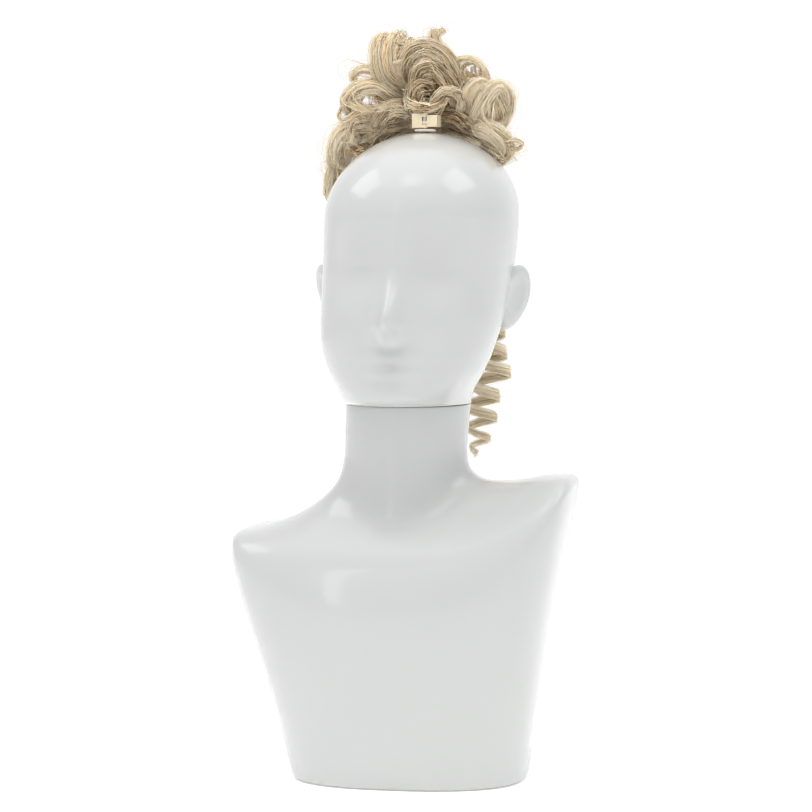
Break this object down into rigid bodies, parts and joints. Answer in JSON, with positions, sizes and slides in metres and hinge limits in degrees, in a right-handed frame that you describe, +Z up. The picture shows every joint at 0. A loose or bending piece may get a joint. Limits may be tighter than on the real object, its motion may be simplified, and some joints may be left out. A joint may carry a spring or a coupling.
{
  "type": "display head bust",
  "caption": "Glossy white display bust with a lift-off head that turns on its neck, wearing a curly clip-on hairpiece held at the crown by a small jaw clip.",
  "frame": {"origin": "middle of the felt's underside, on the surface the bust stands on", "axes": "+Z up along the neck, -Y the way the face looks, +X towards the bust's own left shoulder"},
  "size_m": [0.2681, 0.2458, 0.5886],
  "materials": {
    "shell_white": "high-gloss white lacquer over a moulded shell",
    "hair": "ash blonde synthetic fibre, set in loose curls",
    "clip_cream": "satin cream injection-moulded plastic",
    "putty": "matte off-white tack putty",
    "elastic": "covered elastic cord, blonde",
    "board": "raw fibreboard and softwood",
    "felt": "charcoal felt",
    "steel": "bright zinc-plated steel",
    "nylon": "natural nylon"
  },
  "bodies": {
    "bust": {"bust_shell": "shell_white", "base_felt": "felt", "base_board": "board", "cleat_1": "board", "cleat_2": "board", "cleat_3": "board", "cleat_4": "board", "base_screw_1": "steel", "base_screw_2": "steel", "base_screw_3": "steel", "base_screw_4": "steel", "neck_board": "board", "neck_spigot": "steel", "neck_washer": "steel", "neck_nut": "steel", "thrust_ring": "nylon"},
    "head": {"head_shell": "shell_white", "head_board": "board", "head_bush": "nylon"},
    "hairpiece": {"crown_pad": "putty", "hair_stalk": "hair", "hair_elastic": "elastic", "clip_pin": "steel", "clip_spring": "steel", "hair_core": "hair", "curl_roll": "hair", "curl_arch": "hair", "curl_top": "hair", "curl_loop": "hair", "curl_left": "hair", "curl_low_left": "hair", "curl_right": "hair", "curl_low_right": "hair", "curl_back": "hair", "hair_side_right": "hair", "hair_tail": "hair", "ringlet": "hair"},
    "jaw_right": {"jaw_right": "clip_cream"},
    "jaw_left": {"jaw_left": "clip_cream"}
  },
  "joints": [
    {"name": "head_turn", "type": "hinge", "parent": "bust", "child": "head", "pos_m": [0.0019, 0, 0.2944], "axis": [0, 0, 1], "continuous": true},
    {"name": "hairpiece_lift", "type": "slide", "parent": "head", "child": "hairpiece", "axis": [0, 0, 1], "range_m": [0, 0.12]},
    {"name": "jaw_right_open", "type": "hinge", "parent": "hairpiece", "child": "jaw_right", "pos_m": [0.0154, -0.0022, 0.5148], "axis": [0, 0, 1], "range_deg": [0, 25], "stiffness_Nm_per_rad": 0.05},
    {"name": "jaw_left_open", "type": "hinge", "parent": "hairpiece", "child": "jaw_left", "pos_m": [0.0154, -0.0022, 0.5148], "axis": [0, 0, -1], "range_deg": [0, 25], "stiffness_Nm_per_rad": 0.05}
  ],
  "couplings": [
    {"joint": "jaw_left_open", "follows": "jaw_right_open", "ratio": 1}
  ]
}
